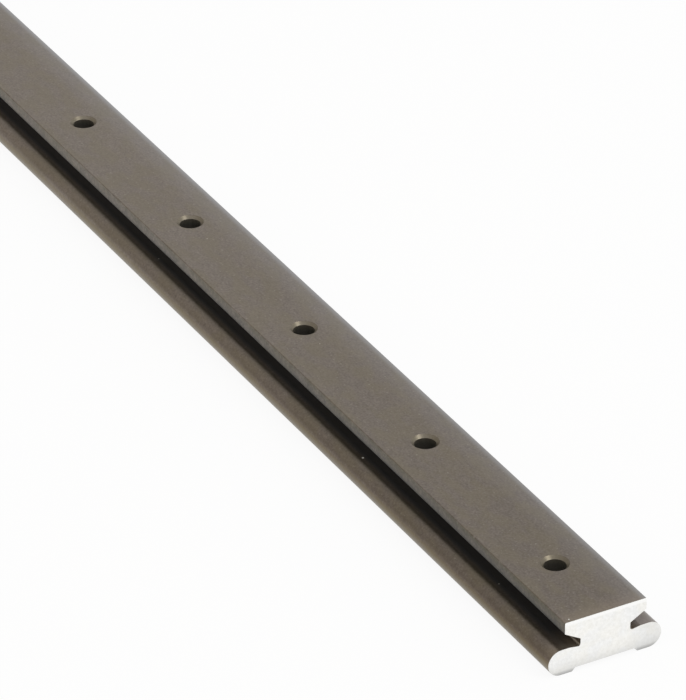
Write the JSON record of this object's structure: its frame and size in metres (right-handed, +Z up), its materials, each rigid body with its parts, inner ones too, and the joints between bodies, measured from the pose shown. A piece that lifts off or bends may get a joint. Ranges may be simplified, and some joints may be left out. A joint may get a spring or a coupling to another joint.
{
  "type": "linear guide rail",
  "caption": "Low extruded aluminium guide rail with a dovetail head, round-edged base flange and a row of plain screw holes; a sliding carriage runs along it.",
  "frame": {"origin": "middle of the rail's length and width, on the plane of the two foot pads that it rests on", "axes": "+X along the rail, +Y across it, +Z up out of the top land"},
  "size_m": [0.47, 0.02, 0.0092],
  "materials": {
    "anodised_aluminium": "satin bronze-grey hard anodising, with bare sawn ends"
  },
  "bodies": {
    "root": {"guide_rail": "anodised_aluminium"}
  },
  "joints": []
}
